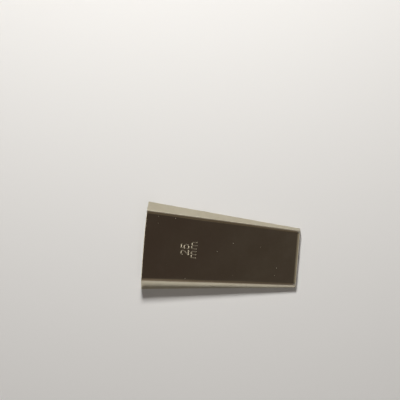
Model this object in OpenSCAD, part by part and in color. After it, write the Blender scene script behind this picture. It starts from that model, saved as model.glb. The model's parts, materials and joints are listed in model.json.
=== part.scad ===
// Bias tape maker: a tapered folded-sheet sleeve with an inner folding guide and a wire pull handle.
// Millimetres. X runs from the wide inlet (-X) to the narrow outlet (+X). The plain face is up and
// the in-turned lips lie on the plane z = 0.

/* [Tape] */
// Width of the finished tape that leaves the outlet
tape_w = 25; // [20:0.5:28]
// Side room that the tape has between the folds at the outlet
tape_room = 0.6; // [0.2:0.1:1.2]
// Room for one layer of cloth between two sheets
fabric_gap = 1; // [0.6:0.05:1.2]

/* [Sleeve] */
// Length from the inlet to the outlet
body_len = 73; // [60:0.5:85]
// Width of the plain face at the inlet, between the sharp fold lines
inlet_w = 32.8; // [30:0.1:38]
// Height of the sleeve at the inlet
inlet_h = 9; // [8:0.1:10.5]
// Lean of the side walls from upright, in degrees
wall_lean = 29.5; // [20:0.5:32]
// Thickness of the sleeve's sheet
sheet_t = 0.5; // [0.4:0.05:0.6]
// Inside radius of the two folds along the plain face
face_fold_r = 1.9; // [0.8:0.1:2.2]
// Inside radius of the two folds along the lips
lip_fold_r = 0.5; // [0.3:0.05:0.8]
// Width of each in-turned lip at the inlet
lip_w = 6.8; // [6.4:0.1:7.6]
// Gap between the two lips at the outlet
lip_slot = 3; // [2:0.1:5]

/* [Folding guide] */
// Thickness of the guide's sheet
guide_t = 0.4; // [0.3:0.05:0.5]
// Inside radius of the guide's folds
guide_fold_r = 0.5; // [0.3:0.05:0.6]
// How far the guide starts inside the inlet
guide_start = 0.5; // [0.2:0.1:1]
// How far the guide's tongue ends before the outlet
guide_setback = 6; // [5:0.5:12]
// Length of the two ears that lie on the lips
ear_len = 8; // [6:0.5:10]
// Strip along the lip's edge that the ear leaves bare
ear_margin = 0.5; // [0.3:0.1:1]
// Width of the awl slot
awl_slot_w = 3; // [2:0.1:4]
// Length of the awl slot
awl_slot_len = 22; // [15:0.5:26]
// Distance of the awl slot from the tip of the tongue
awl_slot_inset = 5; // [3:0.5:8]

/* [Pull handle] */
// Diameter of the handle's wire
wire_d = 1.6; // [1.2:0.1:1.8]
// Distance from the pivot to the middle of the cross bar
handle_len = 24; // [18:0.5:26]
// Distance between the middles of the two arms
handle_w = 12; // [10:0.5:14]
// Bend radius of the wire at the pivot, on its middle line
pivot_bend_r = 1.6; // [1.2:0.1:2.2]
// Bend radius of the wire at the cross bar, on its middle line
corner_bend_r = 4; // [2:0.1:4.5]
// Distance of the pivot from the inlet
pivot_inset = 7.75; // [6:0.25:10]
// Depth of the pivot below the guide's floor
pivot_drop = 2.4; // [2:0.1:2.8]
// How far the flattened wire end stands out past the wire, all round
peen_rim = 0.6; // [0.4:0.1:0.8]
// Thickness of the flattened wire end
peen_t = 0.7; // [0.5:0.1:1]
// Gap between the wire and its hole, all round
pivot_clear = 0.05; // [0.03:0.01:0.08]

/* [Handle tabs] */
// Sheet left round the pivot hole
tab_rim = 1.1; // [0.8:0.1:1.3]
// Straight wire between the pivot bend and the tab
tab_stand = 0.6; // [0.3:0.1:1]

/* [Rivets] */
// Diameter of the rivet's shank
rivet_d = 1.2; // [1:0.1:1.4]
// Diameter of the domed head
rivet_head_d = 2.4; // [2:0.1:2.6]
// Height of the domed head
rivet_head_h = 0.6; // [0.4:0.1:0.8]
// Diameter of the flush head in the lip
rivet_flush_d = 2; // [1.7:0.1:2.4]
// Depth of the flush head
rivet_flush_h = 0.3; // [0.2:0.05:0.35]
// Gap between the rivet and its holes, all round
rivet_clear = 0.03; // [0.02:0.01:0.06]

/* [Hidden] */
$fn = 64;

// Steps that draw one fold, and one dome
fold_steps = 6;
dome_steps = 6;
// How far a cutting shape runs past what it cuts
cut_over = 1;

// Ends of the sleeve and of the guide along X
inlet_x = -body_len / 2;
outlet_x = body_len / 2;
guide_x = inlet_x + guide_start;
ear_end_x = guide_x + ear_len;
tongue_x = outlet_x - guide_setback;

// The outlet is as flat as two sheets, the tongue and two layers of cloth
outlet_w = tape_w + tape_room;
outlet_h = 2 * sheet_t + guide_t + 2 * fabric_gap;
face_fall = (inlet_h - outlet_h) / body_len;
face_pitch = atan(face_fall);

// Sharp outline of the sleeve at x: height, half face, half rim on the table and half lip gap
function between(a, b, k) = a + (b - a) * k;
function way(x) = (x - inlet_x) / body_len;
function face_z(x) = between(inlet_h, outlet_h, way(x));
function face_y(x) = between(inlet_w, outlet_w, way(x)) / 2;
function rim_y(x) = face_y(x) + face_z(x) * tan(wall_lean);
function lip_y(x) = between(rim_y(inlet_x) - lip_w, lip_slot / 2, way(x));
// Half width across the walls at height z, a depth inside the sleeve's outer skin
function wall_y(x, z, depth) =
    face_y(x) + (face_z(x) - z) * tan(wall_lean) - depth / cos(wall_lean);

// The guide's skin lies one sheet and one layer of cloth inside the sleeve's
guide_depth = sheet_t + fabric_gap;
guide_foot_z = sheet_t + fabric_gap;
function floor_z(x) = face_z(x) - guide_depth - guide_t;
function ear_y(x) = lip_y(x) + ear_margin;

// Skin to fold line, where each fold is limited by the height of the lowest wall that it turns into
wall_rise = sin(wall_lean);
lip_bend = sheet_t + lip_fold_r;
outlet_wall_h = outlet_h - lip_bend * (1 + wall_rise);
face_bend = min(sheet_t + face_fold_r, outlet_wall_h / (1 - wall_rise));
tongue_wall_h = guide_setback * face_fall;
guide_bend = guide_t + min(guide_fold_r, tongue_wall_h / (1 - wall_rise));

// Pivot of the handle, its hole and its tabs
wire_r = wire_d / 2;
pivot_x = inlet_x + pivot_inset;
pivot_z = floor_z(pivot_x) - pivot_drop;
pivot_hole_r = wire_r + pivot_clear;
tab_r = pivot_hole_r + tab_rim;
tab_y = handle_w / 2 + pivot_bend_r + tab_stand;
tab_reach = pivot_drop * cos(face_pitch);
// Folded away, the handle leans until its cross bar lies on the table
handle_lean = asin((pivot_z - wire_r) / handle_len);

// Rivets stand in the middle of the flat of each ear
rivet_grip = sheet_t + guide_t;
rivet_x = guide_x + ear_len / 2;
ear_fold_z = sheet_t + guide_bend;
ear_flat_y = wall_y(rivet_x, ear_fold_z, guide_depth + guide_bend);
rivet_y = (ear_y(rivet_x) + ear_flat_y) / 2;

// Cross-sections are lists of [y, z]
function arc(y, z, r, from, to, steps) =
    [for (i = [0 : steps]) let (a = between(from, to, i / steps)) [y + r * cos(a), z + r * sin(a)]];
function reversed(points) = [for (i = [len(points) - 1 : -1 : 0]) points[i]];
function flipped(points) = [for (p = reversed(points)) [-p[0], p[1]]];
function strip(half) = concat(flipped(half), half);
function sheet_section(outer, inner) = concat(strip(outer), reversed(strip(inner)));

// Half of one skin at x, from the face over a fold of radius r about a line fold_depth inside the
// sleeve's outer skin
function face_fold(x, fold_depth, r) =
    let (z = face_z(x) - fold_depth)
    arc(wall_y(x, z, fold_depth), z, r, 90, wall_lean, fold_steps);
// The wall's lower fold, and the lip that it turns into, which ends at y = edge and z = lip_z
function lip_fold(x, fold_depth, fold_z, r, edge, lip_z) =
    concat(arc(wall_y(x, fold_z, fold_depth), fold_z, r, wall_lean, -90, fold_steps), [[edge, lip_z]]);

// Each skin lies back from the outer one: by 0 for the outer skin, by the sheet for the inner one
// Sleeve: face, walls and lips
function sleeve_skin(x, back) =
    concat(
        face_fold(x, face_bend, face_bend - back),
        lip_fold(x, lip_bend, lip_bend, lip_bend - back, lip_y(x), back));
function sleeve_section(x) = sheet_section(sleeve_skin(x, 0), sleeve_skin(x, sheet_t));

// Guide over its ears: floor, walls and ears that lie on the lips
function ear_skin(x, back) =
    let (fold = guide_depth + guide_bend)
    let (r = guide_bend - back)
    concat(face_fold(x, fold, r), lip_fold(x, fold, ear_fold_z, r, ear_y(x), sheet_t + back));
function ear_section(x) = sheet_section(ear_skin(x, 0), ear_skin(x, guide_t));

// Guide past its ears: floor and walls that stop a layer of cloth above the lips
function trough_skin(x, back) =
    concat(
        face_fold(x, guide_depth + guide_bend, guide_bend - back),
        [[wall_y(x, guide_foot_z, guide_depth + back), guide_foot_z]]);
function trough_section(x) = sheet_section(trough_skin(x, 0), trough_skin(x, guide_t));

// Folded sheet between two cross-sections with the same number of points
module folded_sheet(from_x, from_section, to_x, to_section) {
    n = len(from_section);
    points = concat(
        [for (p = from_section) [from_x, p[0], p[1]]],
        [for (p = to_section) [to_x, p[0], p[1]]]);
    sides = [
        for (i = [0 : n - 1]) let (j = (i + 1) % n)
            each [[i, j, n + j], [i, n + j, n + i]]
    ];
    // Each end is a row of quads across the sheet, from one skin to the other
    from_end = [
        for (i = [0 : n / 2 - 2]) let (back = n - 1 - i)
            each [[i, back, back - 1], [i, back - 1, i + 1]]
    ];
    to_end = [for (f = from_end) [n + f[2], n + f[1], n + f[0]]];
    polyhedron(points = points, faces = concat(sides, from_end, to_end), convexity = 8);
}

// Tab blank in the plane of the sheet: a strip from its fold at y = 0 with a round end
module tab_blank(reach, thick) {
    translate([-tab_r, 0, 0]) cube([2 * tab_r, reach, thick]);
    translate([0, reach, 0]) cylinder(r = tab_r, h = thick);
}

// Places on both sides of the sleeve's middle plane
module both_sides() {
    children();
    mirror([0, 1, 0]) children();
}

// Solid of revolution about Z from a list of [radius, z]
module turned(profile) {
    rotate_extrude() polygon(profile);
}

module rivet_hole() {
    shank_r = rivet_d / 2 + rivet_clear;
    flush_r = rivet_flush_d / 2 + rivet_clear;
    both_sides() translate([rivet_x, rivet_y, 0]) turned([
        [0, -cut_over], [flush_r, -cut_over], [flush_r, 0],
        [shank_r, rivet_flush_h], [shank_r, rivet_grip + cut_over], [0, rivet_grip + cut_over]]);
}

module body_shell() {
    color([0.80, 0.78, 0.73])
    difference() {
        folded_sheet(inlet_x, sleeve_section(inlet_x), outlet_x, sleeve_section(outlet_x));
        rivet_hole();
    }
}

// Window that each handle tab leaves in the guide's floor, inboard of the tab
module tab_window() {
    both_sides() translate([pivot_x, tab_y, floor_z(pivot_x)]) rotate([0, face_pitch, 0])
        translate([0, 0, -cut_over]) mirror([0, 1, 0]) tab_blank(tab_reach, guide_t + 2 * cut_over);
}

// Slot with round ends through which an awl pushes the cloth along
module awl_slot() {
    slot_r = awl_slot_w / 2;
    front_x = tongue_x - awl_slot_inset - slot_r;
    back_x = front_x - awl_slot_len + awl_slot_w;
    translate([back_x, -slot_r, guide_foot_z]) cube([front_x - back_x, awl_slot_w, inlet_h]);
    for (x = [back_x, front_x]) translate([x, 0, guide_foot_z]) cylinder(r = slot_r, h = inlet_h);
}

// Tab that hangs from the guide's floor, square to it, with its pivot hole
module handle_tab() {
    both_sides() translate([pivot_x, tab_y, pivot_z]) rotate([0, face_pitch, 0]) difference() {
        union() {
            translate([-tab_r, 0, 0]) cube([2 * tab_r, guide_t, tab_reach + guide_t / 2]);
            rotate([-90, 0, 0]) cylinder(r = tab_r, h = guide_t);
        }
        translate([0, -cut_over, 0]) rotate([-90, 0, 0])
            cylinder(r = pivot_hole_r, h = guide_t + 2 * cut_over);
    }
}

module folding_guide() {
    color([0.74, 0.72, 0.68]) {
        difference() {
            union() {
                folded_sheet(guide_x, ear_section(guide_x), ear_end_x, ear_section(ear_end_x));
                folded_sheet(ear_end_x, trough_section(ear_end_x), tongue_x, trough_section(tongue_x));
            }
            tab_window();
            awl_slot();
            rivet_hole();
        }
        handle_tab();
    }
}

module guide_rivets() {
    shank_r = rivet_d / 2;
    head_r = rivet_head_d / 2;
    // Radius and rim angle of the sphere that the dome is a cap of
    dome_r = (head_r * head_r + rivet_head_h * rivet_head_h) / (2 * rivet_head_h);
    dome_z = rivet_grip + rivet_head_h - dome_r;
    rim_angle = asin((dome_r - rivet_head_h) / dome_r);
    color([0.72, 0.70, 0.66])
    both_sides() translate([rivet_x, rivet_y, 0]) turned(concat(
        [[0, 0], [rivet_flush_d / 2, 0], [shank_r, rivet_flush_h], [shank_r, rivet_grip]],
        [for (i = [0 : dome_steps - 1]) let (a = between(rim_angle, 90, i / dome_steps))
            [dome_r * cos(a), dome_z + dome_r * sin(a)]],
        [[0, rivet_grip + rivet_head_h]]));
}

// Quarter turn of the wire about Z, from the +X side of its middle to the +Y side
module wire_bend(bend_r) {
    rotate_extrude(angle = 90) translate([bend_r, 0]) circle(r = wire_r);
}

// Half of the bail in its own plane: pivot at the origin, arm along +X, cross bar at handle_len
module half_bail() {
    arm_y = handle_w / 2;
    arm_end_x = handle_len - corner_bend_r;
    shank_y = arm_y + pivot_bend_r;
    peen_y = tab_y + guide_t + pivot_clear;
    peen_r = wire_r + peen_rim;
    translate([handle_len, 0, 0]) rotate([-90, 0, 0]) cylinder(r = wire_r, h = arm_y - corner_bend_r);
    translate([arm_end_x, arm_y - corner_bend_r, 0]) wire_bend(corner_bend_r);
    translate([pivot_bend_r, arm_y, 0]) rotate([0, 90, 0]) cylinder(r = wire_r, h = arm_end_x - pivot_bend_r);
    translate([pivot_bend_r, shank_y, 0]) rotate([0, 0, 180]) wire_bend(pivot_bend_r);
    translate([0, shank_y, 0]) rotate([-90, 0, 0]) cylinder(r = wire_r, h = peen_y - shank_y);
    translate([0, peen_y, 0]) rotate([-90, 0, 0]) turned([
        [0, 0], [peen_r, 0], [peen_r, peen_t / 2], [wire_r, peen_t], [0, peen_t]]);
}

module pull_handle() {
    color([0.70, 0.69, 0.67])
    translate([pivot_x, 0, pivot_z]) rotate([0, handle_lean, 0]) both_sides() half_bail();
}

body_shell();
folding_guide();
guide_rivets();
pull_handle();
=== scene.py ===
# %% [markdown]
# A bias tape maker, dressed for its portrait.
#
# The tool is a sleeve of bright nickel-plated sheet. A strip of cloth goes in at the wide end, a guide
# inside the sleeve turns its edges over, and folded tape comes out at the narrow end. A wire handle on
# the guide pulls the tool along.
#
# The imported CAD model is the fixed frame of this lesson. Its four nodes have the right sizes, but the
# folds are drawn with a few flat steps and every edge is dead sharp. Polished metal shows both at once,
# so each node gets a smoother piece, worked out with numpy from the same sizes, in the same place.

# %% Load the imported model
import json
import math

import bmesh
import bpy
import numpy as np
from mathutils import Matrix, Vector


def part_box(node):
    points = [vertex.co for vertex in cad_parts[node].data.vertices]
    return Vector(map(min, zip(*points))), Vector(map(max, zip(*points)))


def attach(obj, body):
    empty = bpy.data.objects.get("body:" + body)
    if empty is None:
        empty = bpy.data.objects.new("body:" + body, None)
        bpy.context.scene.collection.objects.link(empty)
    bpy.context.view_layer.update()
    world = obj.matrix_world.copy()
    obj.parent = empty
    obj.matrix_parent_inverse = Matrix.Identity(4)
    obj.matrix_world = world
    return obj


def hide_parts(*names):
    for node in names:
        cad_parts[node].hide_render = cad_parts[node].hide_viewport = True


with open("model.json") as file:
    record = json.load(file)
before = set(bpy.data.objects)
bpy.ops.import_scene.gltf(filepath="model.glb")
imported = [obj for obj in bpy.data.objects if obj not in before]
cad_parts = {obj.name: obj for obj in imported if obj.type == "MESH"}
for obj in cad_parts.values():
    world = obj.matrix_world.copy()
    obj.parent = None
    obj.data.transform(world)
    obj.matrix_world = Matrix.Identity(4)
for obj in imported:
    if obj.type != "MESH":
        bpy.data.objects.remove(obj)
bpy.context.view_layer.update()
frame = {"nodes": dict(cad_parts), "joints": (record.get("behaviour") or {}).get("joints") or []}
MM = 0.001
print("CAD nodes:", sorted(frame["nodes"]))

# %% [markdown]
# Sizes come first, in millimetres, because a sheet-metal worker thinks in them. What the frame can tell
# is read from it: the ends of the sleeve, its height at the inlet and the place of the handle's pivot.
# The rest are the sheet's own sizes: its thickness, the lean of the walls and the radius of each fold.


# %% Sizes of the sleeve
def node_box_mm(node):
    """Lowest and highest corner of a CAD node, in millimetres."""
    low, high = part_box(node)
    return np.array(low) / MM, np.array(high) / MM


sleeve_low, sleeve_high = node_box_mm("body_shell")
INLET_X = sleeve_low[0]
OUTLET_X = sleeve_high[0]
LENGTH = OUTLET_X - INLET_X
INLET_H = sleeve_high[2]
OUTLET_H = 3.4
INLET_W = 32.8
OUTLET_W = 25.6
WALL_LEAN = math.radians(29.5)
SHEET = 0.5
FACE_BEND = SHEET + 1.9
LIP_BEND = SHEET + 0.5
LIP_W = 6.8
LIP_SLOT = 3.0
print(f"sleeve: {LENGTH:.1f} mm long, {INLET_H:.1f} mm high at the inlet")

# %% [markdown]
# The sleeve's outline changes evenly from the inlet to the outlet. So four straight-line functions of x
# describe it: the height of the face, its half width, the half gap between the lips, and the half width
# across the walls at a height z and a depth inside the outer skin.


# %% Outline of the sleeve
def between(a, b, t):
    """The value a share t of the way from a to b."""
    return a + (b - a) * t


def way(x):
    """Share of the way from the inlet to the outlet."""
    return (x - INLET_X) / LENGTH


def face_z(x):
    """Height of the sleeve's plain face."""
    return between(INLET_H, OUTLET_H, way(x))


def face_y(x):
    """Half the width of the face between its sharp fold lines."""
    return between(INLET_W, OUTLET_W, way(x)) / 2


def wall_y(x, z, depth):
    """Half the width across the walls at height z, a depth square to the wall inside the outer skin."""
    return face_y(x) + (face_z(x) - z) * math.tan(WALL_LEAN) - depth / math.cos(WALL_LEAN)


def lip_y(x):
    """Half the gap between the two in-turned lips."""
    inlet_gap = face_y(INLET_X) + INLET_H * math.tan(WALL_LEAN) - LIP_W
    return between(inlet_gap, LIP_SLOT / 2, way(x))


FACE_PITCH = math.atan((INLET_H - OUTLET_H) / LENGTH)
print(f"the face falls {math.degrees(FACE_PITCH):.1f} degrees towards the outlet")

# %% [markdown]
# A folded sheet has two skins and a cut edge all round. One could model a surface and let Solidify give
# it thickness, but then every edge is square. Here the sheet is a grid of points that is placed twice:
# once for the outer skin and once for the inner one. Both skins share the points on the border, halfway
# through the sheet, and close to the border they draw together along a squared-off circle. That gives
# the small round of a deburred edge, which catches the light as a thin bright line.


# %% Sheets with two skins
EDGE_SQUARENESS = 3.0
# Faces that meet at less than this angle are shaded as one smooth surface
SMOOTH_ANGLE = math.radians(35)
# Gaps from a cut edge, as shares of half the sheet, at which the round is drawn
EDGE_STEPS = np.array([0.0, 0.04, 0.16, 0.4, 0.7, 1.0])


def edge_fullness(gap, reach):
    """0 on the cut edge and 1 a reach away: (1 - (1 - gap/reach)^p)^(1/p), a circle when p is 2."""
    short = 1 - np.clip(gap / reach, 0, 1)
    return (1 - short**EDGE_SQUARENESS) ** (1 / EDGE_SQUARENESS)


def new_piece(name, points, faces):
    """Mesh object at the origin from points in millimetres and a list of faces."""
    mesh = bpy.data.meshes.new(name)
    mesh.from_pydata((points * MM).tolist(), [], faces)
    mesh.validate()
    mesh.shade_smooth()
    mesh.set_sharp_from_angle(angle=SMOOTH_ANGLE)
    piece = bpy.data.objects.new(name, mesh)
    bpy.context.scene.collection.objects.link(piece)
    return piece


def grid_quads(ids, keep):
    """Quads of the kept cells of a grid of point numbers, turned to face the outer side."""
    corners = (ids[:-1, :-1], ids[1:, :-1], ids[1:, 1:], ids[:-1, 1:])
    return np.stack([c[keep] for c in corners], axis=1)


def two_skinned_sheet(skin, thickness, gap, keep):
    """Points and quads of a closed sheet.

    skin(back, outer) gives the grid's points at a depth inside the outer skin. The outer skin lies at
    half the thickness times (1 - fullness) and the inner one at half the thickness times
    (1 + fullness), so they meet on the border of the kept cells.
    """
    full = edge_fullness(gap, thickness / 2)
    outer = skin(thickness / 2 * (1 - full), True)
    inner = skin(thickness / 2 * (1 + full), False)
    cells = np.pad(keep, 1).astype(int)
    around = cells[:-1, :-1] + cells[1:, :-1] + cells[:-1, 1:] + cells[1:, 1:]
    used = around > 0
    inside = around == 4
    outer_id = np.full(used.shape, -1)
    outer_id[used] = np.arange(used.sum())
    inner_id = outer_id.copy()
    inner_id[inside] = used.sum() + np.arange(inside.sum())
    points = np.concatenate([outer[used], inner[inside]])
    quads = np.concatenate([grid_quads(outer_id, keep), grid_quads(inner_id, keep)[:, ::-1]])
    return points, quads


# %% [markdown]
# The size mark is stamped into the face near the wide end. It reads across the sleeve, with the top of
# the figures towards the inlet. The mark is generic: it only gives the width of the tape. Its strokes
# are lines and arcs of a plain engraver's alphabet. The face is pressed in wherever a point of it lies
# within half a stroke of one of those lines, as a shallow V. The punch leaves a stroke a little rougher
# than the face, so an attribute on the mesh tells the material where the strokes are.

# %% Strokes of the size mark
FIGURE_H = 3.5
FIGURE_W = 2.0
FIGURE_GAP = 0.85
LETTER_H = 2.25
LETTER_W = 2.97
LETTER_GAP = 1.25
# The five's flag and back as shares of the figure's width and height, its bowl as shares of them too
FIVE_FLAG = np.array([[0.95, 1.0], [0.2, 1.0], [0.08, 0.54]])
FIVE_BOWL_MIDDLE = 0.42
FIVE_BOWL_R = 0.31
# The mark's two base lines along the sleeve, and its middle across it
FIGURE_BASE_X = -15.36
LETTER_BASE_X = -11.7
MARK_Y = -0.2


def arc_line(right, up, radius, start, end, steps=12):
    """Points on an arc of the alphabet, from one angle in degrees to another."""
    a = np.radians(np.linspace(start, end, steps))
    return np.stack([right + radius * np.cos(a), up + radius * np.sin(a)], axis=1)


def figure_two():
    """A hook over the top, a slanted neck and a flat foot."""
    bow = FIGURE_W / 2
    foot = np.array([[0.0, 0.0], [FIGURE_W, 0.0]])
    return [np.concatenate([arc_line(bow, FIGURE_H - bow, bow, 170, -40), foot])]


def figure_five():
    """A flag, a short back and a bowl that opens to the left."""
    bowl = FIVE_BOWL_R * FIGURE_H
    flag = FIVE_FLAG * [FIGURE_W, FIGURE_H]
    return [np.concatenate([flag, arc_line(FIVE_BOWL_MIDDLE * FIGURE_W, bowl, bowl, 125, -140)])]


def letter_m():
    """Three stems under two round arches."""
    arch = LETTER_W / 4
    stems = [
        np.array([[k * 2 * arch, 0.0], [k * 2 * arch, LETTER_H - arch * (k > 0)]])
        for k in range(3)]
    arches = [arc_line(arch * (1 + 2 * k), LETTER_H - arch, arch, 180, 0) for k in range(2)]
    return stems + arches


def mark_line(glyphs, width, gap, base_x):
    """Strokes of one line of the mark on the sleeve: right in the text is +Y, up is -X."""
    starts = (np.arange(len(glyphs)) - len(glyphs) / 2) * (width + gap) + gap / 2
    placed = []
    for strokes, start in zip(glyphs, starts):
        placed += [np.stack([base_x - s[:, 1], MARK_Y + start + s[:, 0]], axis=1) for s in strokes]
    return placed


mark_strokes = mark_line([figure_two(), figure_five()], FIGURE_W, FIGURE_GAP, FIGURE_BASE_X)
mark_strokes += mark_line([letter_m(), letter_m()], LETTER_W, LETTER_GAP, LETTER_BASE_X)
print("mark: strokes", len(mark_strokes))


# %% Depth of the stamped mark
STROKE_HALF = 0.26
STROKE_ROUND = 0.04
STAMP_SLOPE = math.tan(math.radians(14))


def stroke_distance(x, y, strokes):
    """Distance from each point to the nearest straight stretch of the strokes."""
    points = np.stack([x, y], axis=-1)
    starts = np.concatenate([s[:-1] for s in strokes])
    runs = np.concatenate([s[1:] - s[:-1] for s in strokes])
    off = points[:, None, :] - starts[None]
    share = np.clip((off * runs).sum(-1) / (runs * runs).sum(-1), 0, 1)
    return np.linalg.norm(off - share[..., None] * runs, axis=-1).min(axis=1)


def stamp_depth(distance):
    """Depth at a distance d from a stroke's middle: a V with a round floor, the hyperbola sqrt(d^2 + r^2)."""
    rise = np.hypot(distance, STROKE_ROUND)
    return STAMP_SLOPE * np.clip(np.hypot(STROKE_HALF, STROKE_ROUND) - rise, 0, None)


# %% [markdown]
# Across the sleeve, one number v walks along the section: 0 is the middle of the face, 1 the start of
# the fold, 2 the top of the wall, 3 its foot, 4 the start of the lip and 5 the lip's cut edge. Negative
# v is the other side. Each stretch is a straight line or an arc about a fold line, so one formula with
# arrays gives every point of the sheet at once.
#
# Pressed sheet is never quite flat. A wave of a few hundredths of a millimetre is enough to make a
# mirror finish look like real metal. The press also rolls the sheet down a little at the outlet, and
# folding the walls draws the corners of the inlet in.

# %% Section of the sleeve
WAVE_H = 0.022
# Each ripple: its lengths along x and y in millimetres, its start and its share of the height
RIPPLES = ((33, 41, 0.15, 1.0), (24, -27, 0.4, 0.7), (47, 19, 0.7, 0.6))
ROLL_LEN = 1.6
ROLL_DROP = 0.26
BOW = 0.3
BOW_LEN = 6.0
LIP_EDGE = SHEET / 2


def press_wave(x, y):
    """Sum of crossed sine ripples, 18 to 26 mm from crest to crest."""
    return WAVE_H * sum(
        share * np.sin(2 * np.pi * (x / along + y / across + start))
        for along, across, start, share in RIPPLES)


def outlet_roll(x):
    """The sheet's fall at the outlet: a parabola over the last stretch."""
    t = np.clip((x - OUTLET_X + ROLL_LEN) / ROLL_LEN, 0, 1)
    return -ROLL_DROP * t * t


def inlet_bow(x, y):
    """How far the inlet's corners are drawn in: a parabola across, fading along the first stretch."""
    fade = np.clip(1 - (x - INLET_X) / BOW_LEN, 0, 1)
    return BOW * fade * fade * (2 * y / INLET_W) ** 2


def sleeve_points(x, v, back, press):
    """Points of the sleeve's skin at depth back, with the stamped depth press added on the face."""
    s = np.abs(v)
    fold_z = face_z(x) - FACE_BEND
    fold_y = wall_y(x, fold_z, FACE_BEND)
    lip_line_y = wall_y(x, LIP_BEND, LIP_BEND)
    face_r = FACE_BEND - back
    lip_r = LIP_BEND - back
    face_a = np.interp(s, [1, 2], [math.pi / 2, WALL_LEAN])
    lip_a = np.interp(s, [3, 4], [WALL_LEAN, -math.pi / 2])
    top_y = fold_y + face_r * math.cos(WALL_LEAN)
    top_z = fold_z + face_r * math.sin(WALL_LEAN)
    foot_y = lip_line_y + lip_r * math.cos(WALL_LEAN)
    foot_z = LIP_BEND + lip_r * math.sin(WALL_LEAN)
    edge_start = lip_y(x) + LIP_EDGE
    lip_run = np.where(
        s < 4.5,
        between(lip_line_y, edge_start, (s - 4) * 2),
        between(edge_start, lip_y(x), (s - 4.5) * 2))
    stretch = [s <= 1, s <= 2, s <= 3, s <= 4]
    y = np.select(
        stretch,
        [fold_y * s, fold_y + face_r * np.cos(face_a), between(top_y, foot_y, s - 2),
         lip_line_y + lip_r * np.cos(lip_a)],
        lip_run)
    z = np.select(
        stretch,
        [face_z(x) - back - press, fold_z + face_r * np.sin(face_a), between(top_z, foot_z, s - 2),
         LIP_BEND + lip_r * np.sin(lip_a)],
        back)
    y = np.sign(v) * y
    # The folds stiffen the sheet: the wave dies out where they start, the roll where they end
    wave_share = np.interp(s, [0.75, 1.25], [1, 0])
    roll_share = np.interp(s, [1, 2], [1, 0])
    z = z + wave_share * press_wave(x, y) + roll_share * outlet_roll(x)
    return np.stack(np.broadcast_arrays(x + inlet_bow(x, y), y, z), axis=-1)


# %% [markdown]
# The grid is fine only where the shape needs it: under the mark, over the folds and along the cut
# edges. Everywhere else a few lines are enough, because the walls and lips are straight.


# %% The sleeve
def joined_steps(*stretches):
    """One rising list of grid lines from several stretches."""
    return np.unique(np.round(np.concatenate(stretches), 6))


MARK_FROM_X = FIGURE_BASE_X - FIGURE_H - 1.0
MARK_TO_X = LETTER_BASE_X + 1.0
MARK_HALF_Y = LETTER_W + LETTER_GAP / 2 + 1.0
MARK_LINE = 0.075
# The roll's lines stop at this share of its length, where those of the cut edge start
ROLL_STOP = 0.16
sleeve_edge = EDGE_STEPS * SHEET / 2
sleeve_x = joined_steps(
    INLET_X + sleeve_edge,
    np.linspace(INLET_X + SHEET, MARK_FROM_X, 16),
    np.arange(MARK_FROM_X, MARK_TO_X, MARK_LINE),
    np.linspace(MARK_TO_X, OUTLET_X - ROLL_LEN, 34),
    OUTLET_X - ROLL_LEN * np.linspace(1, ROLL_STOP, 12),
    OUTLET_X - sleeve_edge)
mark_share = (MARK_HALF_Y + abs(MARK_Y)) / wall_y(0, face_z(0) - FACE_BEND, FACE_BEND)
half_v = joined_steps(
    np.linspace(0, mark_share, round(MARK_HALF_Y / MARK_LINE)),
    np.linspace(mark_share, 1, 10),
    np.linspace(1, 2, 17),
    np.linspace(2, 3, 7),
    np.linspace(3, 4, 17),
    np.linspace(4, 4.5, 7),
    5 - 0.5 * EDGE_STEPS)
sleeve_v = np.concatenate([-half_v[:0:-1], half_v])
grid_x, grid_v = np.meshgrid(sleeve_x, sleeve_v, indexing="ij")
flat = sleeve_points(grid_x, grid_v, np.zeros_like(grid_x), 0.0)
near_mark = (np.abs(grid_v) < 1) & (grid_x > MARK_FROM_X) & (grid_x < MARK_TO_X)
near_mark &= np.abs(flat[..., 1] - MARK_Y) < MARK_HALF_Y
press = np.zeros_like(grid_x)
off_stroke = stroke_distance(flat[near_mark][:, 0], flat[near_mark][:, 1], mark_strokes)
press[near_mark] = stamp_depth(off_stroke)

lip_gap = LIP_EDGE * np.clip((5 - np.abs(grid_v)) * 2, 0, 1)
sleeve_gap = np.minimum(np.minimum(grid_x - INLET_X, OUTLET_X - grid_x), lip_gap)
sleeve_keep = np.ones((len(sleeve_x) - 1, len(sleeve_v) - 1), bool)
points, quads = two_skinned_sheet(
    lambda back, outer: sleeve_points(grid_x, grid_v, back, press if outer else 0.0),
    SHEET, sleeve_gap, sleeve_keep)
sleeve = new_piece("sleeve_sheet", points, quads.tolist())
print(f"sleeve: {len(points)} points, {len(quads)} quads")

# %% [markdown]
# The folding guide is a second, thinner sheet that follows the sleeve's inner skin one fabric gap away.
# It is made the same way, with its own walk v along the section. Near the inlet its walls go on down and
# turn inwards as two ears that lie on the lips. Past the ears the walls stop short, so the grid has an
# L-shaped border there: the cells beyond the wall's foot are left out.

# %% Sizes of the guide
FABRIC_GAP = 1.0
GUIDE = 0.4
GUIDE_DEPTH = SHEET + FABRIC_GAP
GUIDE_BEND = GUIDE + 0.5
GUIDE_FOOT_Z = SHEET + FABRIC_GAP
EAR_LEN = 8.0
EAR_MARGIN = 0.5
GUIDE_EDGE = GUIDE / 2
guide_low, guide_high = node_box_mm("folding_guide")
GUIDE_X = guide_low[0]
TONGUE_X = guide_high[0]
EAR_END_X = GUIDE_X + EAR_LEN
EAR_FOLD_Z = SHEET + GUIDE_BEND
NOTCH_LEN = 1.0


def floor_z(x):
    """Height of the guide's floor on the handle's side."""
    return face_z(x) - GUIDE_DEPTH - GUIDE


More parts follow.
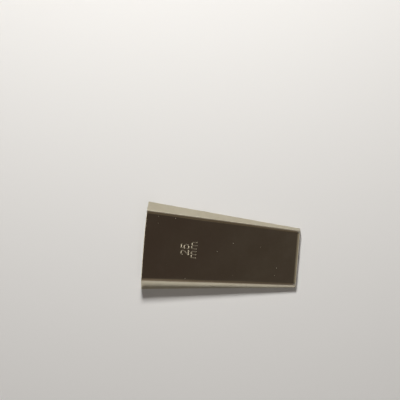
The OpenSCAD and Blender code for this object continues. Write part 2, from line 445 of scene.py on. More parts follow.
def guide_points(x, v, back):
    """Points of the guide's skin at depth back inside its outer skin."""
    s = np.abs(v)
    depth = GUIDE_DEPTH + GUIDE_BEND
    r = GUIDE_BEND - back
    fold_z = face_z(x) - depth
    fold_y = wall_y(x, fold_z, depth)
    ear_line_y = wall_y(x, EAR_FOLD_Z, depth)
    fold_a = np.interp(s, [1, 2], [math.pi / 2, WALL_LEAN])
    ear_a = np.interp(s, [3, 4], [WALL_LEAN, -math.pi / 2])
    top_y = fold_y + r * math.cos(WALL_LEAN)
    top_z = fold_z + r * math.sin(WALL_LEAN)
    ear_z = EAR_FOLD_Z + r * math.sin(WALL_LEAN)
    past = np.clip((x - EAR_END_X) / NOTCH_LEN, 0, 1)
    foot_z = between(ear_z, np.minimum(GUIDE_FOOT_Z, top_z), 1 - (1 - past) ** 2)
    foot_y = wall_y(x, foot_z, GUIDE_DEPTH + back)
    wall_len = np.hypot(foot_y - top_y, top_z - foot_z)
    edge_share = np.clip(GUIDE_EDGE / np.maximum(wall_len, GUIDE_EDGE), 0, 0.5)
    t = np.where(s < 2.5, (s - 2) * 2 * (1 - edge_share), 1 - edge_share * (3 - s) * 2)
    ear_y = lip_y(x) + EAR_MARGIN
    ear_run = np.where(
        s < 4.5,
        between(ear_line_y, ear_y + GUIDE_EDGE, (s - 4) * 2),
        between(ear_y + GUIDE_EDGE, ear_y, (s - 4.5) * 2))
    stretch = [s <= 1, s <= 2, s <= 3, s <= 4]
    y = np.select(
        stretch,
        [fold_y * s, fold_y + r * np.cos(fold_a), between(top_y, foot_y, t),
         ear_line_y + r * np.cos(ear_a)],
        ear_run)
    z = np.select(
        stretch,
        [face_z(x) - GUIDE_DEPTH - back, fold_z + r * np.sin(fold_a), between(top_z, foot_z, t),
         EAR_FOLD_Z + r * np.sin(ear_a)],
        SHEET + back)
    return np.stack(np.broadcast_arrays(x, np.sign(v) * y, z), axis=-1)


# %% The guide's sheet
guide_edge_steps = EDGE_STEPS * GUIDE_EDGE
guide_x = joined_steps(
    GUIDE_X + guide_edge_steps,
    np.linspace(GUIDE_X + GUIDE, EAR_END_X - GUIDE, 8),
    EAR_END_X - guide_edge_steps,
    EAR_END_X + NOTCH_LEN * np.linspace(0, 1, 9),
    np.linspace(EAR_END_X + NOTCH_LEN, TONGUE_X - GUIDE, 24),
    TONGUE_X - guide_edge_steps)
guide_half_v = joined_steps(
    np.linspace(0, 1, 12),
    np.linspace(1, 2, 12),
    np.linspace(2, 2.5, 5),
    3 - 0.5 * EDGE_STEPS,
    np.linspace(3, 4, 12),
    np.linspace(4, 4.5, 4),
    5 - 0.5 * EDGE_STEPS)
guide_v = np.concatenate([-guide_half_v[:0:-1], guide_half_v])
gx, gv = np.meshgrid(guide_x, guide_v, indexing="ij")
gs = np.abs(gv)
over_ear = gx <= EAR_END_X
foot_gap = np.where(over_ear | (gs <= 2.5), GUIDE_EDGE, GUIDE_EDGE * (3 - gs) * 2)
ear_gap = GUIDE_EDGE * np.clip((5 - gs) * 2, 0, 1)
ear_end_gap = np.where((gs > 3) & over_ear, EAR_END_X - gx, GUIDE_EDGE)
end_gap = np.minimum(gx - GUIDE_X, TONGUE_X - gx)
guide_gap = np.maximum(np.minimum.reduce([foot_gap, ear_gap, ear_end_gap, end_gap]), 0)
mid_x = (guide_x[:-1] + guide_x[1:]) / 2
mid_s = np.abs(guide_v[:-1] + guide_v[1:]) / 2
guide_keep = (mid_x[:, None] < EAR_END_X) | (mid_s[None, :] < 3)
points, quads = two_skinned_sheet(
    lambda back, outer: guide_points(gx, gv, back), GUIDE, guide_gap, guide_keep)
guide = new_piece("guide_sheet", points, quads.tolist())
print(f"guide: {len(points)} points, {len(quads)} quads")

# %% [markdown]
# Holes in thin sheet are punched, so they are cut here too: a punch with the hole's outline goes through
# the sheet and a Boolean takes it away. Straight-sided holes use a prism and round ones a solid of rings
# about an axis. The guide gets the awl slot, the two windows that its handle tabs were lanced out of and
# the rivet holes, and the sleeve's lips get the countersunk side of the rivet holes. Each cut is applied
# at once, so no modifier stays live.


# %% Shapes of the punches
def round_ended_slot(middle, half_len, radius, steps=12):
    """Outline of a slot along X: two half circles, counter-clockwise."""
    a = np.linspace(-np.pi / 2, np.pi / 2, steps)
    right = np.stack([half_len + radius * np.cos(a), radius * np.sin(a)], axis=1)
    return np.concatenate([right, -right]) + middle


def prism(outline, low, high):
    """Points and faces of an upright prism over a counter-clockwise outline."""
    n = len(outline)
    ring = np.arange(n)
    level = np.repeat([[low], [high]], n, axis=0)
    points = np.column_stack([np.tile(outline, (2, 1)), level])
    sides = np.stack([ring, (ring + 1) % n, n + (ring + 1) % n, n + ring], axis=1)
    return points, [ring[::-1].tolist(), (n + ring).tolist()] + sides.tolist()


def ringed_solid(centres, first, second, radius, poles, sides=32):
    """Points and faces of a solid of rings, closed at two poles.

    A ring's points are its centre + radius * (cos a * first + sin a * second).
    """
    a = np.linspace(0, 2 * np.pi, sides, endpoint=False)[None, :, None]
    spokes = np.cos(a) * first[:, None, :] + np.sin(a) * second[:, None, :]
    rings = centres[:, None, :] + radius[:, None, None] * spokes
    points = np.concatenate([rings.reshape(-1, 3), poles])
    ids = np.arange(len(centres) * sides).reshape(len(centres), sides)
    after = np.roll(ids, -1, axis=1)
    quads = np.stack([ids[:-1], after[:-1], after[1:], ids[1:]], axis=-1).reshape(-1, 4)
    start = np.stack([np.full(sides, ids.size), after[0], ids[0]], axis=1)
    end = np.stack([np.full(sides, ids.size + 1), ids[-1], after[-1]], axis=1)
    return points, quads.tolist() + start.tolist() + end.tolist()


def turned_solid(foot, profile, axis, first, second, sides=40):
    """Solid of revolution: rings of each radius in the profile at its height along the axis.

    The first and last rows of the profile are its poles, with radius 0.
    """
    rings = profile[1:-1]
    count = len(rings)
    poles = foot + profile[[0, -1], 1:] * axis
    return ringed_solid(
        foot + rings[:, 1:] * axis, np.tile(first, (count, 1)), np.tile(second, (count, 1)),
        rings[:, 0], poles, sides)


# %% Punching
def punch(piece, cutters):
    """Cuts closed solids out of a piece and applies the cut; each is points in mm and faces."""
    points = np.concatenate([p for p, faces in cutters])
    starts = np.cumsum([0] + [len(p) for p, faces in cutters[:-1]])
    faces = [[i + start for i in f] for (p, fs), start in zip(cutters, starts) for f in fs]
    cutter = new_piece("punch", points, faces)
    cut = piece.modifiers.new("punched", "BOOLEAN")
    cut.object = cutter
    cut.operation = "DIFFERENCE"
    cut.solver = "EXACT"
    graph = bpy.context.evaluated_depsgraph_get()
    punched = bpy.data.meshes.new_from_object(piece.evaluated_get(graph))
    punched.set_sharp_from_angle(angle=SMOOTH_ANGLE)
    piece.modifiers.clear()
    piece.data = punched
    bpy.data.objects.remove(cutter)
    print(f"{piece.name}: {len(punched.polygons)} faces after punching")


# %% Places of the holes
AWL_SLOT_W = 3.0
AWL_SLOT_LEN = 22.0
AWL_SLOT_INSET = 5.0
handle_joint = frame["joints"][0]
PIVOT = np.array(handle_joint["pos_m"]) / MM
WIRE_R = 0.8
PIVOT_CLEAR = 0.05
PIVOT_HOLE_R = WIRE_R + PIVOT_CLEAR
TAB_RIM = 1.1
TAB_R = PIVOT_HOLE_R + TAB_RIM
ARM_Y = 6.0
PIVOT_BEND = 1.6
# Room between the end of the wire's bend and the tab
TAB_STAND = 0.6
TAB_Y = ARM_Y + PIVOT_BEND + TAB_STAND
TAB_FOLD = 0.3
TAB_REACH = (floor_z(PIVOT[0]) - PIVOT[2]) * math.cos(FACE_PITCH)
rivet_low, rivet_high = node_box_mm("guide_rivets")
RIVET_X = (rivet_low[0] + rivet_high[0]) / 2
RIVET_HEAD_R = (rivet_high[0] - rivet_low[0]) / 2
RIVET_Y = rivet_high[1] - RIVET_HEAD_R
RIVET_R = 0.6
RIVET_CLEAR = 0.03
FLUSH_R = 1.0
FLUSH_H = 0.3
# The rivet punch starts below the lip and ends above the guide's ear
PUNCH_FROM = -1.0
PUNCH_TO = 1.5
UP = np.array([0.0, 0.0, 1.0])
SIDEWAYS = np.array([0.0, 1.0, 0.0])
ALONG = np.array([1.0, 0.0, 0.0])
print(f"pivot at x {PIVOT[0]:.2f}, rivets at x {RIVET_X:.2f} and y {RIVET_Y:.2f} mm")

# %% Holes of the guide and the lips
slot_middle = np.array([TONGUE_X - AWL_SLOT_INSET - AWL_SLOT_LEN / 2, 0.0])
awl_slot = round_ended_slot(slot_middle, (AWL_SLOT_LEN - AWL_SLOT_W) / 2, AWL_SLOT_W / 2, 16)


def window_outline(side):
    """Outline of a tab's window: square at the fold, round at the inboard end, counter-clockwise."""
    a = np.linspace(0, np.pi, 16)
    fold_y = TAB_Y + GUIDE + TAB_FOLD
    round_end = np.stack([TAB_R * np.cos(a), TAB_Y - TAB_REACH - TAB_R * np.sin(a)], axis=1)
    corners = np.array([[-TAB_R, fold_y], [TAB_R, fold_y]])
    outline = np.concatenate([corners, round_end]) * [1, side] + [PIVOT[0], 0]
    return outline[::-side]


holes = [prism(awl_slot, GUIDE_FOOT_Z, INLET_H)]
holes += [prism(window_outline(side), PIVOT[2] + TAB_R, INLET_H) for side in (1, -1)]
hole_r = RIVET_R + RIVET_CLEAR
flush_hole_r = FLUSH_R + RIVET_CLEAR
hole_profile = np.array([
    [0, PUNCH_FROM], [flush_hole_r, PUNCH_FROM], [flush_hole_r, 0],
    [hole_r, FLUSH_H], [hole_r, PUNCH_TO], [0, PUNCH_TO]])
rivet_holes = [
    turned_solid(np.array([RIVET_X, side * RIVET_Y, 0]), hole_profile, UP, ALONG, SIDEWAYS)
    for side in (1, -1)]
punch(guide, holes + rivet_holes)
punch(sleeve, rivet_holes)

# %% Where the strokes of the mark are
spots = np.zeros(len(sleeve.data.vertices) * 3)
sleeve.data.vertices.foreach_get("co", spots)
spots = spots.reshape(-1, 3) / MM
marked = (spots[:, 0] > MARK_FROM_X) & (spots[:, 0] < MARK_TO_X)
marked &= np.abs(spots[:, 1] - MARK_Y) < MARK_HALF_Y
marked &= spots[:, 2] > face_z(spots[:, 0]) - SHEET / 2
in_stroke = np.zeros(len(spots))
in_stroke[marked] = stroke_distance(spots[marked, 0], spots[marked, 1], mark_strokes) < STROKE_HALF
stamp = sleeve.data.attributes.new("stamp", "FLOAT", "POINT")
stamp.data.foreach_set("value", in_stroke)
print(f"mark: {np.count_nonzero(in_stroke)} points in the strokes")

# %% [markdown]
# Each handle tab is a strip of the same sheet, folded down from the floor at its outboard side. A strip
# is a grid too: p runs along it, from inside the floor, round the fold and down to the rounded end, and
# q runs across it. The strip narrows as a half circle round the pivot hole.

# %% Handle tabs
TAB_ROOT = 0.5
# The last line stops just short of the tip, so that the strip keeps a little width there
TAB_TIP = 0.985
tab_fold_r = TAB_FOLD + GUIDE
tab_drop = TAB_REACH - TAB_FOLD
fold_len = tab_fold_r * math.pi / 2
tab_p = np.concatenate([
    np.linspace(-TAB_ROOT, 0, 3)[:-1],
    np.linspace(0, fold_len, 9)[:-1],
    fold_len + np.linspace(0, tab_drop, 8)[:-1],
    fold_len + tab_drop + TAB_R * np.sin(np.linspace(0, TAB_TIP, 14) * np.pi / 2)])
tab_q = np.sin(np.linspace(-1, 1, 25) * np.pi / 2)
tp, tq = np.meshgrid(tab_p, tab_q, indexing="ij")


def tab_points(back, side):
    """Strip on the tab's upper and inboard skin, back being its depth in the sheet.

    It runs level to the fold line, round a quarter circle, then straight down. All of it is square to
    the guide's floor, so it leans with the face about the pivot.
    """
    bend = np.clip(tp / fold_len, 0, 1) * math.pi / 2
    r = tab_fold_r - back
    below = np.maximum(tp - fold_len, 0)
    out = np.maximum(-tp, 0)
    y = TAB_Y + tab_fold_r + out - r * np.sin(bend)
    up = TAB_REACH - TAB_FOLD + r * np.cos(bend) - below
    past_pivot = np.clip((tp - fold_len - tab_drop) / TAB_R, 0, 1)
    along = TAB_R * np.sqrt(1 - past_pivot**2) * tq
    x = PIVOT[0] + along * math.cos(FACE_PITCH) + up * math.sin(FACE_PITCH)
    z = PIVOT[2] - along * math.sin(FACE_PITCH) + up * math.cos(FACE_PITCH)
    return np.stack([x, side * y, z], axis=-1)


half_width = TAB_R * np.sqrt(1 - np.clip((tp - fold_len - tab_drop) / TAB_R, 0, 1) ** 2)
tab_gap = np.minimum.reduce([half_width * (1 - np.abs(tq)), tp + TAB_ROOT, tab_p[-1] - tp])
tab_keep = np.ones((len(tab_p) - 1, len(tab_q) - 1), bool)
PIN_HALF = 1.0
pin_profile = np.array([
    [0, -PIN_HALF], [PIVOT_HOLE_R, -PIN_HALF], [PIVOT_HOLE_R, PIN_HALF], [0, PIN_HALF]])
tab_pieces = []
for side in (1, -1):
    points, quads = two_skinned_sheet(
        lambda back, outer: tab_points(back, side), GUIDE, np.maximum(tab_gap, 0), tab_keep)
    tab = new_piece(f"tab_{side}", points, quads[:, ::-side].tolist())
    punch(tab, [turned_solid(PIVOT + side * TAB_Y * SIDEWAYS, pin_profile, SIDEWAYS, UP, ALONG)])
    tab_pieces.append(tab)
print("tabs:", len(tab_pieces))


# %% Guide and tabs as one piece
def join_pieces(name, pieces):
    """One object from several closed meshes, poured together with bmesh."""
    pot = bmesh.new()
    for piece in pieces:
        pot.from_mesh(piece.data)
        bpy.data.objects.remove(piece)
    mesh = bpy.data.meshes.new(name)
    pot.to_mesh(mesh)
    pot.free()
    mesh.set_sharp_from_angle(angle=SMOOTH_ANGLE)
    joined = bpy.data.objects.new(name, mesh)
    bpy.context.scene.collection.objects.link(joined)
    return joined


guide = join_pieces("guide_plate", [guide] + tab_pieces)
print(f"guide with tabs: {len(guide.data.polygons)} faces")

# %% [markdown]
# The handle is one length of wire. Its centre line lies in a plane, so a place on it needs only three
# numbers: p along the arms, q across them, and the heading. Every stretch is straight or an arc. Rings
# of points round the centre line make the wire. At both ends the rings swell and then close to a pole,
# which is the shape of a wire end that was hammered over so that it stays in its hole.

# %% Centre line of the handle
HANDLE_LEN = 24.0
CORNER_BEND = 4.0
PEEN_GAP = 0.05
PEEN_RIM = 0.6
PEEN_R = WIRE_R + PEEN_RIM
PEEN_T = 0.7
# Steps of the eased corner at the seat: out along the wire, and in from the rim
PEEN_EASE_OUT = np.array([0.0, 0.05, 0.1])
PEEN_EASE_IN = np.array([0.1, 0.03, 0.0])
PEEN_RIM_SHARE = 0.4
PEEN_DOME = np.radians([0, 15, 30, 45, 60, 72, 82])
HANDLE_LEAN = math.asin((PIVOT[2] - WIRE_R) / HANDLE_LEN)
SHANK_Y = TAB_Y + GUIDE + PEEN_GAP


def straight_run(start, end, heading, steps=3):
    """Rows of p, q, heading and radius along a straight stretch."""
    pq = np.linspace(start, end, steps)
    return np.column_stack([pq, np.full(steps, math.radians(heading)), np.full(steps, WIRE_R)])


def bend_run(centre, radius, heading_from, heading_to, steps=15):
    """Rows along an arc: the place is the centre plus the radius, square to the heading."""
    h = np.radians(np.linspace(heading_from, heading_to, steps))
    turn = radius * np.sign(heading_to - heading_from)
    pq = np.array(centre) + turn * np.column_stack([np.sin(h), -np.cos(h)])
    return np.column_stack([pq, h, np.full(steps, WIRE_R)])


def peen_run(side):
    """Rows of a peened end: a flat seat, a short rim and a dome that is a quarter of an ellipse."""
    rim = PEEN_RIM_SHARE * PEEN_T
    out = np.concatenate([PEEN_EASE_OUT, rim + (PEEN_T - rim) * np.sin(PEEN_DOME)])
    r = np.concatenate([PEEN_R - PEEN_EASE_IN, PEEN_R * np.cos(PEEN_DOME)])
    across = np.full_like(out, math.pi / 2)
    rows = np.column_stack([np.zeros_like(out), side * (SHANK_Y + out), across, r])
    return rows[::side]


pivot_q = ARM_Y + PIVOT_BEND
corner_p = HANDLE_LEN - CORNER_BEND
corner_q = ARM_Y - CORNER_BEND
handle_rows = np.concatenate([
    peen_run(-1),
    straight_run((0, -SHANK_Y), (0, -pivot_q), 90),
    bend_run((PIVOT_BEND, -pivot_q), PIVOT_BEND, 90, 0)[1:],
    straight_run((PIVOT_BEND, -ARM_Y), (corner_p, -ARM_Y), 0, 8)[1:],
    bend_run((corner_p, -corner_q), CORNER_BEND, 0, 90)[1:],
    straight_run((HANDLE_LEN, -corner_q), (HANDLE_LEN, corner_q), 90)[1:],
    bend_run((corner_p, corner_q), CORNER_BEND, 90, 180)[1:],
    straight_run((corner_p, ARM_Y), (PIVOT_BEND, ARM_Y), 180, 8)[1:],
    bend_run((PIVOT_BEND, pivot_q), PIVOT_BEND, 180, 90)[1:],
    straight_run((0, pivot_q), (0, SHANK_Y), 90)[1:],
    peen_run(1)])
print("handle: rings", len(handle_rows))


# %% The wire handle
arm_axis = np.array([math.cos(HANDLE_LEAN), 0, -math.sin(HANDLE_LEAN)])
loop_axis = np.array([math.sin(HANDLE_LEAN), 0, math.cos(HANDLE_LEAN)])
p, q, heading, wire_radius = handle_rows.T
centres = PIVOT + p[:, None] * arm_axis + q[:, None] * SIDEWAYS
inward = -np.sin(heading)[:, None] * arm_axis + np.cos(heading)[:, None] * SIDEWAYS
upward = np.repeat(loop_axis[None], len(p), axis=0)
tips = PIVOT + np.array([[-1.0], [1.0]]) * (SHANK_Y + PEEN_T) * SIDEWAYS
points, faces = ringed_solid(centres, inward, upward, wire_radius, tips)
handle = new_piece("bail_wire", points, faces)
print(f"handle: {len(points)} points")

# %% [markdown]
# A rivet is the same kind of solid with a straight centre line. From the bottom up it has a flush head
# that sits in the lip, a shank through both sheets and a low domed head on the guide's ear. The setting
# tool leaves a shallow dimple in the dome.

# %% The two rivets
SEAT_Z = SHEET + GUIDE
HEAD_TOP = rivet_high[2]
HEAD_RIM = 0.1
DIMPLE_R = 0.38
DIMPLE_DEPTH = 0.07
# Eased corners of the two heads: in from the rim, and along the rivet
FLUSH_EASE = (0.06, 0.03)
HEAD_EASE = (0.05, 0.04)
# Rows of the dimple: in from its rim, and down from the top of the head
DIMPLE_IN = np.array([0.0, 0.06, 0.16])
DIMPLE_DOWN = np.array([0.01, 0.03, DIMPLE_DEPTH])
dome_t = np.radians(np.linspace(0, 70, 9))
dome_r = RIVET_HEAD_R * np.cos(dome_t)
dome_z = between(SEAT_Z + HEAD_RIM, HEAD_TOP, np.sin(dome_t))
rivet_profile = np.concatenate([
    [[0, 0], [FLUSH_R - FLUSH_EASE[0], 0], [FLUSH_R, FLUSH_EASE[1]],
     [RIVET_R, FLUSH_H], [RIVET_R, SEAT_Z],
     [RIVET_HEAD_R - HEAD_EASE[0], SEAT_Z], [RIVET_HEAD_R, SEAT_Z + HEAD_EASE[1]]],
    np.column_stack([dome_r, dome_z]),
    np.column_stack([DIMPLE_R - DIMPLE_IN, HEAD_TOP - DIMPLE_DOWN]),
    [[0, HEAD_TOP - DIMPLE_DEPTH]]])
rivet_pieces = []
for side in (1, -1):
    points, faces = turned_solid(
        np.array([RIVET_X, side * RIVET_Y, 0]), rivet_profile, UP, ALONG, SIDEWAYS)
    rivet_pieces.append(new_piece(f"rivet_{side}", points, faces))
rivets = join_pieces("rivet_pair", rivet_pieces)
print(f"rivets: {len(rivets.data.polygons)} faces")

# %% [markdown]
# Each piece rides on a body and stands in for a CAD node, which is hidden. The handle rides on its own
# body, so it swings when the joint does.

# %% Tie the pieces to the frame
for piece, body, node, slot in (
        (sleeve, "body", "body_shell", "sleeve_plate"),
        (guide, "body", "folding_guide", "guide_plate"),
        (rivets, "body", "guide_rivets", "rivet_metal"),
        (handle, "handle", "pull_handle", "handle_wire")):
    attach(piece, body)
    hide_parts(node)
    print(f"{piece.name} rides on {body}")

# %% [markdown]
# Colours are written as sRGB hex, the way a picture shows them, and turned into linear light for the
# shader. One small function adds a node with its settings and its links, and the materials are built
# from it. Texture scales come from real sizes in millimetres.


# %% Colour and node helpers
def linear_colour(code):
    """Linear RGBA of an sRGB hex.

    Each channel c becomes ((c + 0.055) / 1.055)^2.4, or c / 12.92 when it is dark.
    """
    c = np.array([int(code[k:k + 2], 16) for k in (1, 3, 5)]) / 255
    return (*np.where(c <= 0.04045, c / 12.92, ((c + 0.055) / 1.055) ** 2.4).tolist(), 1.0)


def add_node(tree, kind, sockets=None, **settings):
    """Adds a node, sets its properties, and gives each socket a value or a link."""
    made = tree.nodes.new(kind)
    for name, value in settings.items():
        setattr(made, name, value)
    for key, value in (sockets or {}).items():
        if isinstance(value, bpy.types.NodeSocket):
            tree.links.new(value, made.inputs[key])
        else:
            made.inputs[key].default_value = value
    return made


def per_mm(size):
    """Texture scale whose features are about a size in millimetres."""
    return 1 / (size * MM)


# %% [markdown]
# All four pieces are nickel plate, which is a warm, slightly yellow mirror. Each finish differs in how
# it was worked: the sleeve is buffed, the guide is left as plated, the wire keeps its drawing lines and
# the rivets are dulled by the setting tool.


# %% Nickel plate
HAZE_MM = 8
# Stretches of the haze pattern over which the metal gets rougher, and over which it gets duller
ROUGH_FROM = 0.4
ROUGH_TO = 0.7
TARNISH_FROM = 0.35
TARNISH_TO = 0.65
LINE_MM = 0.12
PIT_CELL_MM = 7
# Share of a cell that the largest pit reaches, 0.2 mm, and where the pattern starts
PIT_REACH = 0.03
PIT_SHIFT = (22.2 * MM, 43.2 * MM, 0)
PIT_CHANCE = 0.7
PIT_ROUGHNESS = 0.6


def nickel_plate(name, bright, dull, smooth, hazed, grain, line_height, stamp_roughness=None):
    """Plated metal with hazy patches, fine lines along a grain and a few pin-prick pits.

    Roughness goes from smooth to hazed with the haze. A grain below 1 stretches the lines along that
    axis, and line_height is their height in millimetres. A stamped stroke adds its own roughness.
    """
    material = bpy.data.materials.new(name)
    material.use_nodes = True
    tree = material.node_tree
    tree.nodes.clear()
    place = add_node(tree, "ShaderNodeTexCoord").outputs["Object"]
    # Hazy patches a fingertip wide, where handling took the edge off the mirror
    haze = add_node(tree, "ShaderNodeTexNoise", {
        "Vector": place, "Scale": per_mm(HAZE_MM), "Detail": 8.0, "Roughness": 0.7}).outputs["Fac"]
    # Lines a tenth of a millimetre apart that run along the grain
    stretched = add_node(tree, "ShaderNodeMapping", {"Vector": place, "Scale": grain}).outputs["Vector"]
    lines = add_node(tree, "ShaderNodeTexNoise", {
        "Vector": stretched, "Scale": per_mm(LINE_MM), "Detail": 2.0}).outputs["Fac"]
    # Pits: a rough pin prick in the middle of some cells of a flat pattern, seen from above
    moved = add_node(tree, "ShaderNodeMapping", {
        "Vector": place, "Location": PIT_SHIFT}).outputs["Vector"]
    cells = add_node(tree, "ShaderNodeTexVoronoi", {
        "Vector": moved, "Scale": per_mm(PIT_CELL_MM)}, voronoi_dimensions="2D")
    chance = add_node(tree, "ShaderNodeSeparateColor", {0: cells.outputs["Color"]}).outputs[0]
    reach = add_node(tree, "ShaderNodeMapRange", {
        "Value": chance, "From Min": PIT_CHANCE, "From Max": 1.0,
        "To Min": 0.0, "To Max": PIT_REACH}).outputs["Result"]
    pit = add_node(tree, "ShaderNodeMath", {
        0: cells.outputs["Distance"], 1: reach}, operation="LESS_THAN").outputs[0]
    rough = add_node(tree, "ShaderNodeMapRange", {
        "Value": haze, "From Min": ROUGH_FROM, "From Max": ROUGH_TO,
        "To Min": smooth, "To Max": hazed}).outputs["Result"]
    rough = add_node(tree, "ShaderNodeMath", {
        0: pit, 1: PIT_ROUGHNESS, 2: rough}, operation="MULTIPLY_ADD").outputs[0]
    if stamp_roughness is not None:
        stamped = add_node(tree, "ShaderNodeAttribute", attribute_name="stamp").outputs["Fac"]
        rough = add_node(tree, "ShaderNodeMath", {
            0: stamped, 1: stamp_roughness, 2: rough}, operation="MULTIPLY_ADD").outputs[0]
    tarnish = add_node(tree, "ShaderNodeMapRange", {
        "Value": haze, "From Min": TARNISH_FROM, "From Max": TARNISH_TO}).outputs["Result"]
    colour = add_node(tree, "ShaderNodeMix", {
        0: tarnish, 6: linear_colour(bright), 7: linear_colour(dull)}, data_type="RGBA").outputs[2]
    relief = add_node(tree, "ShaderNodeBump", {
        "Height": lines, "Strength": 1.0, "Distance": line_height * MM}).outputs["Normal"]
    shader = add_node(tree, "ShaderNodeBsdfPrincipled", {
        "Base Color": colour, "Metallic": 1.0, "Roughness": rough, "Normal": relief})
    add_node(tree, "ShaderNodeOutputMaterial", {"Surface": shader.outputs["BSDF"]})
    return material


# %% The four finishes
# Buffed: a clear mirror whose faint lines run along the sleeve
sleeve.data.materials.append(nickel_plate(
    "bright_nickel_buffed_sheet", "#D1CAB6", "#C7BFA9", smooth=0.05, hazed=0.13,
    grain=(0.03, 1, 1), line_height=0.0002, stamp_roughness=0.24))
# As plated: the same colour with a softer mirror
guide.data.materials.append(nickel_plate(
    "nickel_as_plated_sheet", "#CEC5B1", "#BBB29C", smooth=0.12, hazed=0.24,
    grain=(0.05, 1, 1), line_height=0.0006))
# Drawn: lines along the arms that stretch the highlights
handle.data.materials.append(nickel_plate(
    "nickel_drawn_wire", "#D0C9BA", "#BDB5A4", smooth=0.1, hazed=0.2,
    grain=(0.04, 1, 1), line_height=0.0012))
# Set: dull from the blow of the setting tool
rivets.data.materials.append(nickel_plate(
    "nickel_set_rivet", "#CBC3B2", "#B3AA97", smooth=0.18, hazed=0.32,
    grain=(1, 1, 1), line_height=0.0012))
print("materials:", [m.name for m in bpy.data.materials])

# %% [markdown]
# A mirror has no look of its own, so the studio is half of the finish. The floor is pale, and the leaning
# walls show it as bright bands. Overhead the room is dark and warm, so the face that looks straight up is
# nearly black. A key lamp behind the tool throws a short shadow along its near side, and the foot of the
# near wall mirrors that shadow as a dark line. Round the tool stand glowing panels that show only in the
# metal: warm dim ones opposite the two folds, with a pale strip along their foot, and pale ones for the
# ends, the stamped strokes and the rest.

# %% Floor
FLOOR_HALF = 3.0
# A hair under the lips, so that floor and lips share no plane
FLOOR_Z = -0.06 * MM
PAPER_ROUGHNESS = 0.9
floor_mesh = bpy.data.meshes.new("studio_floor")
floor_corners = np.array([[-1, -1], [1, -1], [1, 1], [-1, 1]]) * FLOOR_HALF
floor_points = np.column_stack([floor_corners, np.full(4, FLOOR_Z)])
floor_mesh.from_pydata(floor_points.tolist(), [], [[0, 1, 2, 3]])
floor = bpy.data.objects.new("studio_floor", floor_mesh)
bpy.context.scene.collection.objects.link(floor)
paper = bpy.data.materials.new("pale_matt_paper")
paper.use_nodes = True
paper_shader = paper.node_tree.nodes["Principled BSDF"]
paper_shader.inputs["Base Color"].default_value = linear_colour("#EDECEA")
paper_shader.inputs["Roughness"].default_value = PAPER_ROUGHNESS
floor_mesh.materials.append(paper)
print("floor laid")

# %% Room
room = bpy.data.worlds.new("studio_room")
bpy.context.scene.world = room
room.use_nodes = True
room.node_tree.nodes.clear()
look = add_node(room.node_tree, "ShaderNodeTexCoord").outputs["Generated"]
height = add_node(room.node_tree, "ShaderNodeSeparateXYZ", {0: look}).outputs["Z"]
ramp = add_node(room.node_tree, "ShaderNodeValToRGB", {"Fac": height})
# From the horizon to straight up: pale backdrop, brown shade, dark warm ceiling
bands = ((0.0, "#DCDAD7"), (0.05, "#CFCCC8"), (0.16, "#3C332B"), (0.85, "#332B24"),
         (0.94, "#4D4641"), (0.976, "#514A45"), (0.9935, "#463C38"))
ramp.color_ramp.elements.remove(ramp.color_ramp.elements[1])
ramp.color_ramp.elements[0].position = bands[0][0]
ramp.color_ramp.elements[0].color = linear_colour(bands[0][1])
for position, code in bands[1:]:
    ramp.color_ramp.elements.new(position).color = linear_colour(code)
backdrop = add_node(room.node_tree, "ShaderNodeBackground", {
    "Color": ramp.outputs["Color"], "Strength": 1.0})
add_node(room.node_tree, "ShaderNodeOutputWorld", {"Surface": backdrop.outputs["Background"]})
print("room painted")


# %% Kinds of light
def area_light(name, place, azimuth, tilt, wide, high, power, code):
    """Rectangular light at a place, turned to face back along its azimuth and tilt."""
    light = bpy.data.lights.new(name, "AREA")
    light.shape = "RECTANGLE"
    light.size = wide
    light.size_y = high
    light.energy = power
    light.color = linear_colour(code)[:3]
    lamp = bpy.data.objects.new(name, light)
    lamp.location = place
    lamp.rotation_euler = (math.pi / 2 - tilt, 0, azimuth + math.pi / 2)
    lamp.visible_camera = False
    bpy.context.scene.collection.objects.link(lamp)
    return lamp


def soft_box(name, azimuth, elevation, distance, size, power, code, spread=180):
    """Square light aimed at the tool; azimuth from +X towards +Y, a small spread dims its rim."""
    a = math.radians(azimuth)
    e = math.radians(elevation)
    place = np.array([math.cos(a) * math.cos(e), math.sin(a) * math.cos(e), math.sin(e)]) * distance
    lamp = area_light(name, place, a, e, size, size, power, code)
    lamp.data.spread = math.radians(spread)
    return lamp


def standing_panel(name, azimuth, distance, wide, high, power, code):
    """Glowing panel that stands on the floor and faces the tool."""
    a = math.radians(azimuth)
    place = (math.cos(a) * distance, math.sin(a) * distance, high / 2)
    return area_light(name, place, a, 0, wide, high, power, code)


# %% Lamps and panels
# Angles in degrees, then distance and size in metres and power in watts.
# The lamps that light the floor stay out of the mirror, where they would burn out
floor_lamps = (
    soft_box("key_box", 100, 42, 0.6, 0.12, 3.5, "#FFFEFC"),
    soft_box("fill_box", -80, 60, 0.8, 0.6, 0.7, "#FFFEFC"))
for lamp in floor_lamps:
    lamp.visible_glossy = False

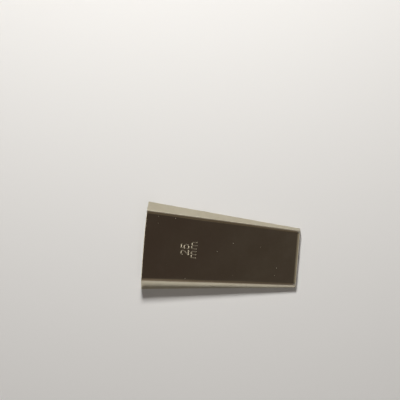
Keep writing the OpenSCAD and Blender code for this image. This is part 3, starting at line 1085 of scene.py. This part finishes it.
# The panels show only in the metal: warm ones across from the folds, pale ones for the rest
mirror_panels = (
    standing_panel("near_warm_panel", -87.5, 0.6, 0.222, 2.2, 0.268, "#FFECDC"),
    standing_panel("near_dim_panel", -67.5, 0.6, 0.2, 1.6, 0.0917, "#FFECDC"),
    standing_panel("near_low_panel", -78, 0.6, 0.44, 0.28, 0.058, "#EEF3FF"),
    standing_panel("far_warm_panel", 75, 0.6, 0.34, 1.8, 0.185, "#FFE8CE"),
    standing_panel("far_low_panel", 80, 0.6, 0.5, 0.32, 0.12, "#EEF3FF"),
    soft_box("near_left_panel", -138, 25, 0.6, 1.2, 0.7, "#F3F6FF", 100),
    soft_box("near_right_panel", -38, 25, 0.6, 0.68, 0.13, "#F3F6FF", 70),
    soft_box("far_left_panel", 138, 25, 0.6, 1.2, 0.7, "#F3F6FF", 100),
    soft_box("far_right_panel", 38, 25, 0.6, 0.68, 0.13, "#F3F6FF", 70),
    soft_box("outlet_panel", 0, 24, 0.8, 0.7, 0.1, "#F3F6FF", 60),
    soft_box("inlet_panel", 180, 30, 0.8, 0.7, 0.04, "#F3F6FF", 60),
    soft_box("outlet_top_panel", 0, 52, 0.8, 0.5, 0.011, "#FFF6E6", 40),
    soft_box("inlet_top_panel", 180, 68, 0.8, 0.3, 0.85, "#FFFAF2"))
for panel in mirror_panels:
    panel.visible_diffuse = False
print("lights:", len(bpy.data.lights))

# %% [markdown]
# The camera looks straight down from 0.8 m with a long lens and is turned a few degrees, so that the
# tool lies across the lower half of the frame.

# %% Camera
CAMERA_AT = np.array([-11.88, 23.48, 800.0])
CAMERA_ROLL = 4.846
LENS = 152.06
SENSOR_W = 36.0
camera_data = bpy.data.cameras.new("portrait_camera")
camera_data.lens = LENS
camera_data.sensor_width = SENSOR_W
camera = bpy.data.objects.new("portrait_camera", camera_data)
camera.location = CAMERA_AT * MM
camera.rotation_euler = (0, 0, math.radians(CAMERA_ROLL))
bpy.context.scene.collection.objects.link(camera)
bpy.context.scene.camera = camera
bpy.context.scene.view_settings.view_transform = "Standard"
print("camera set")
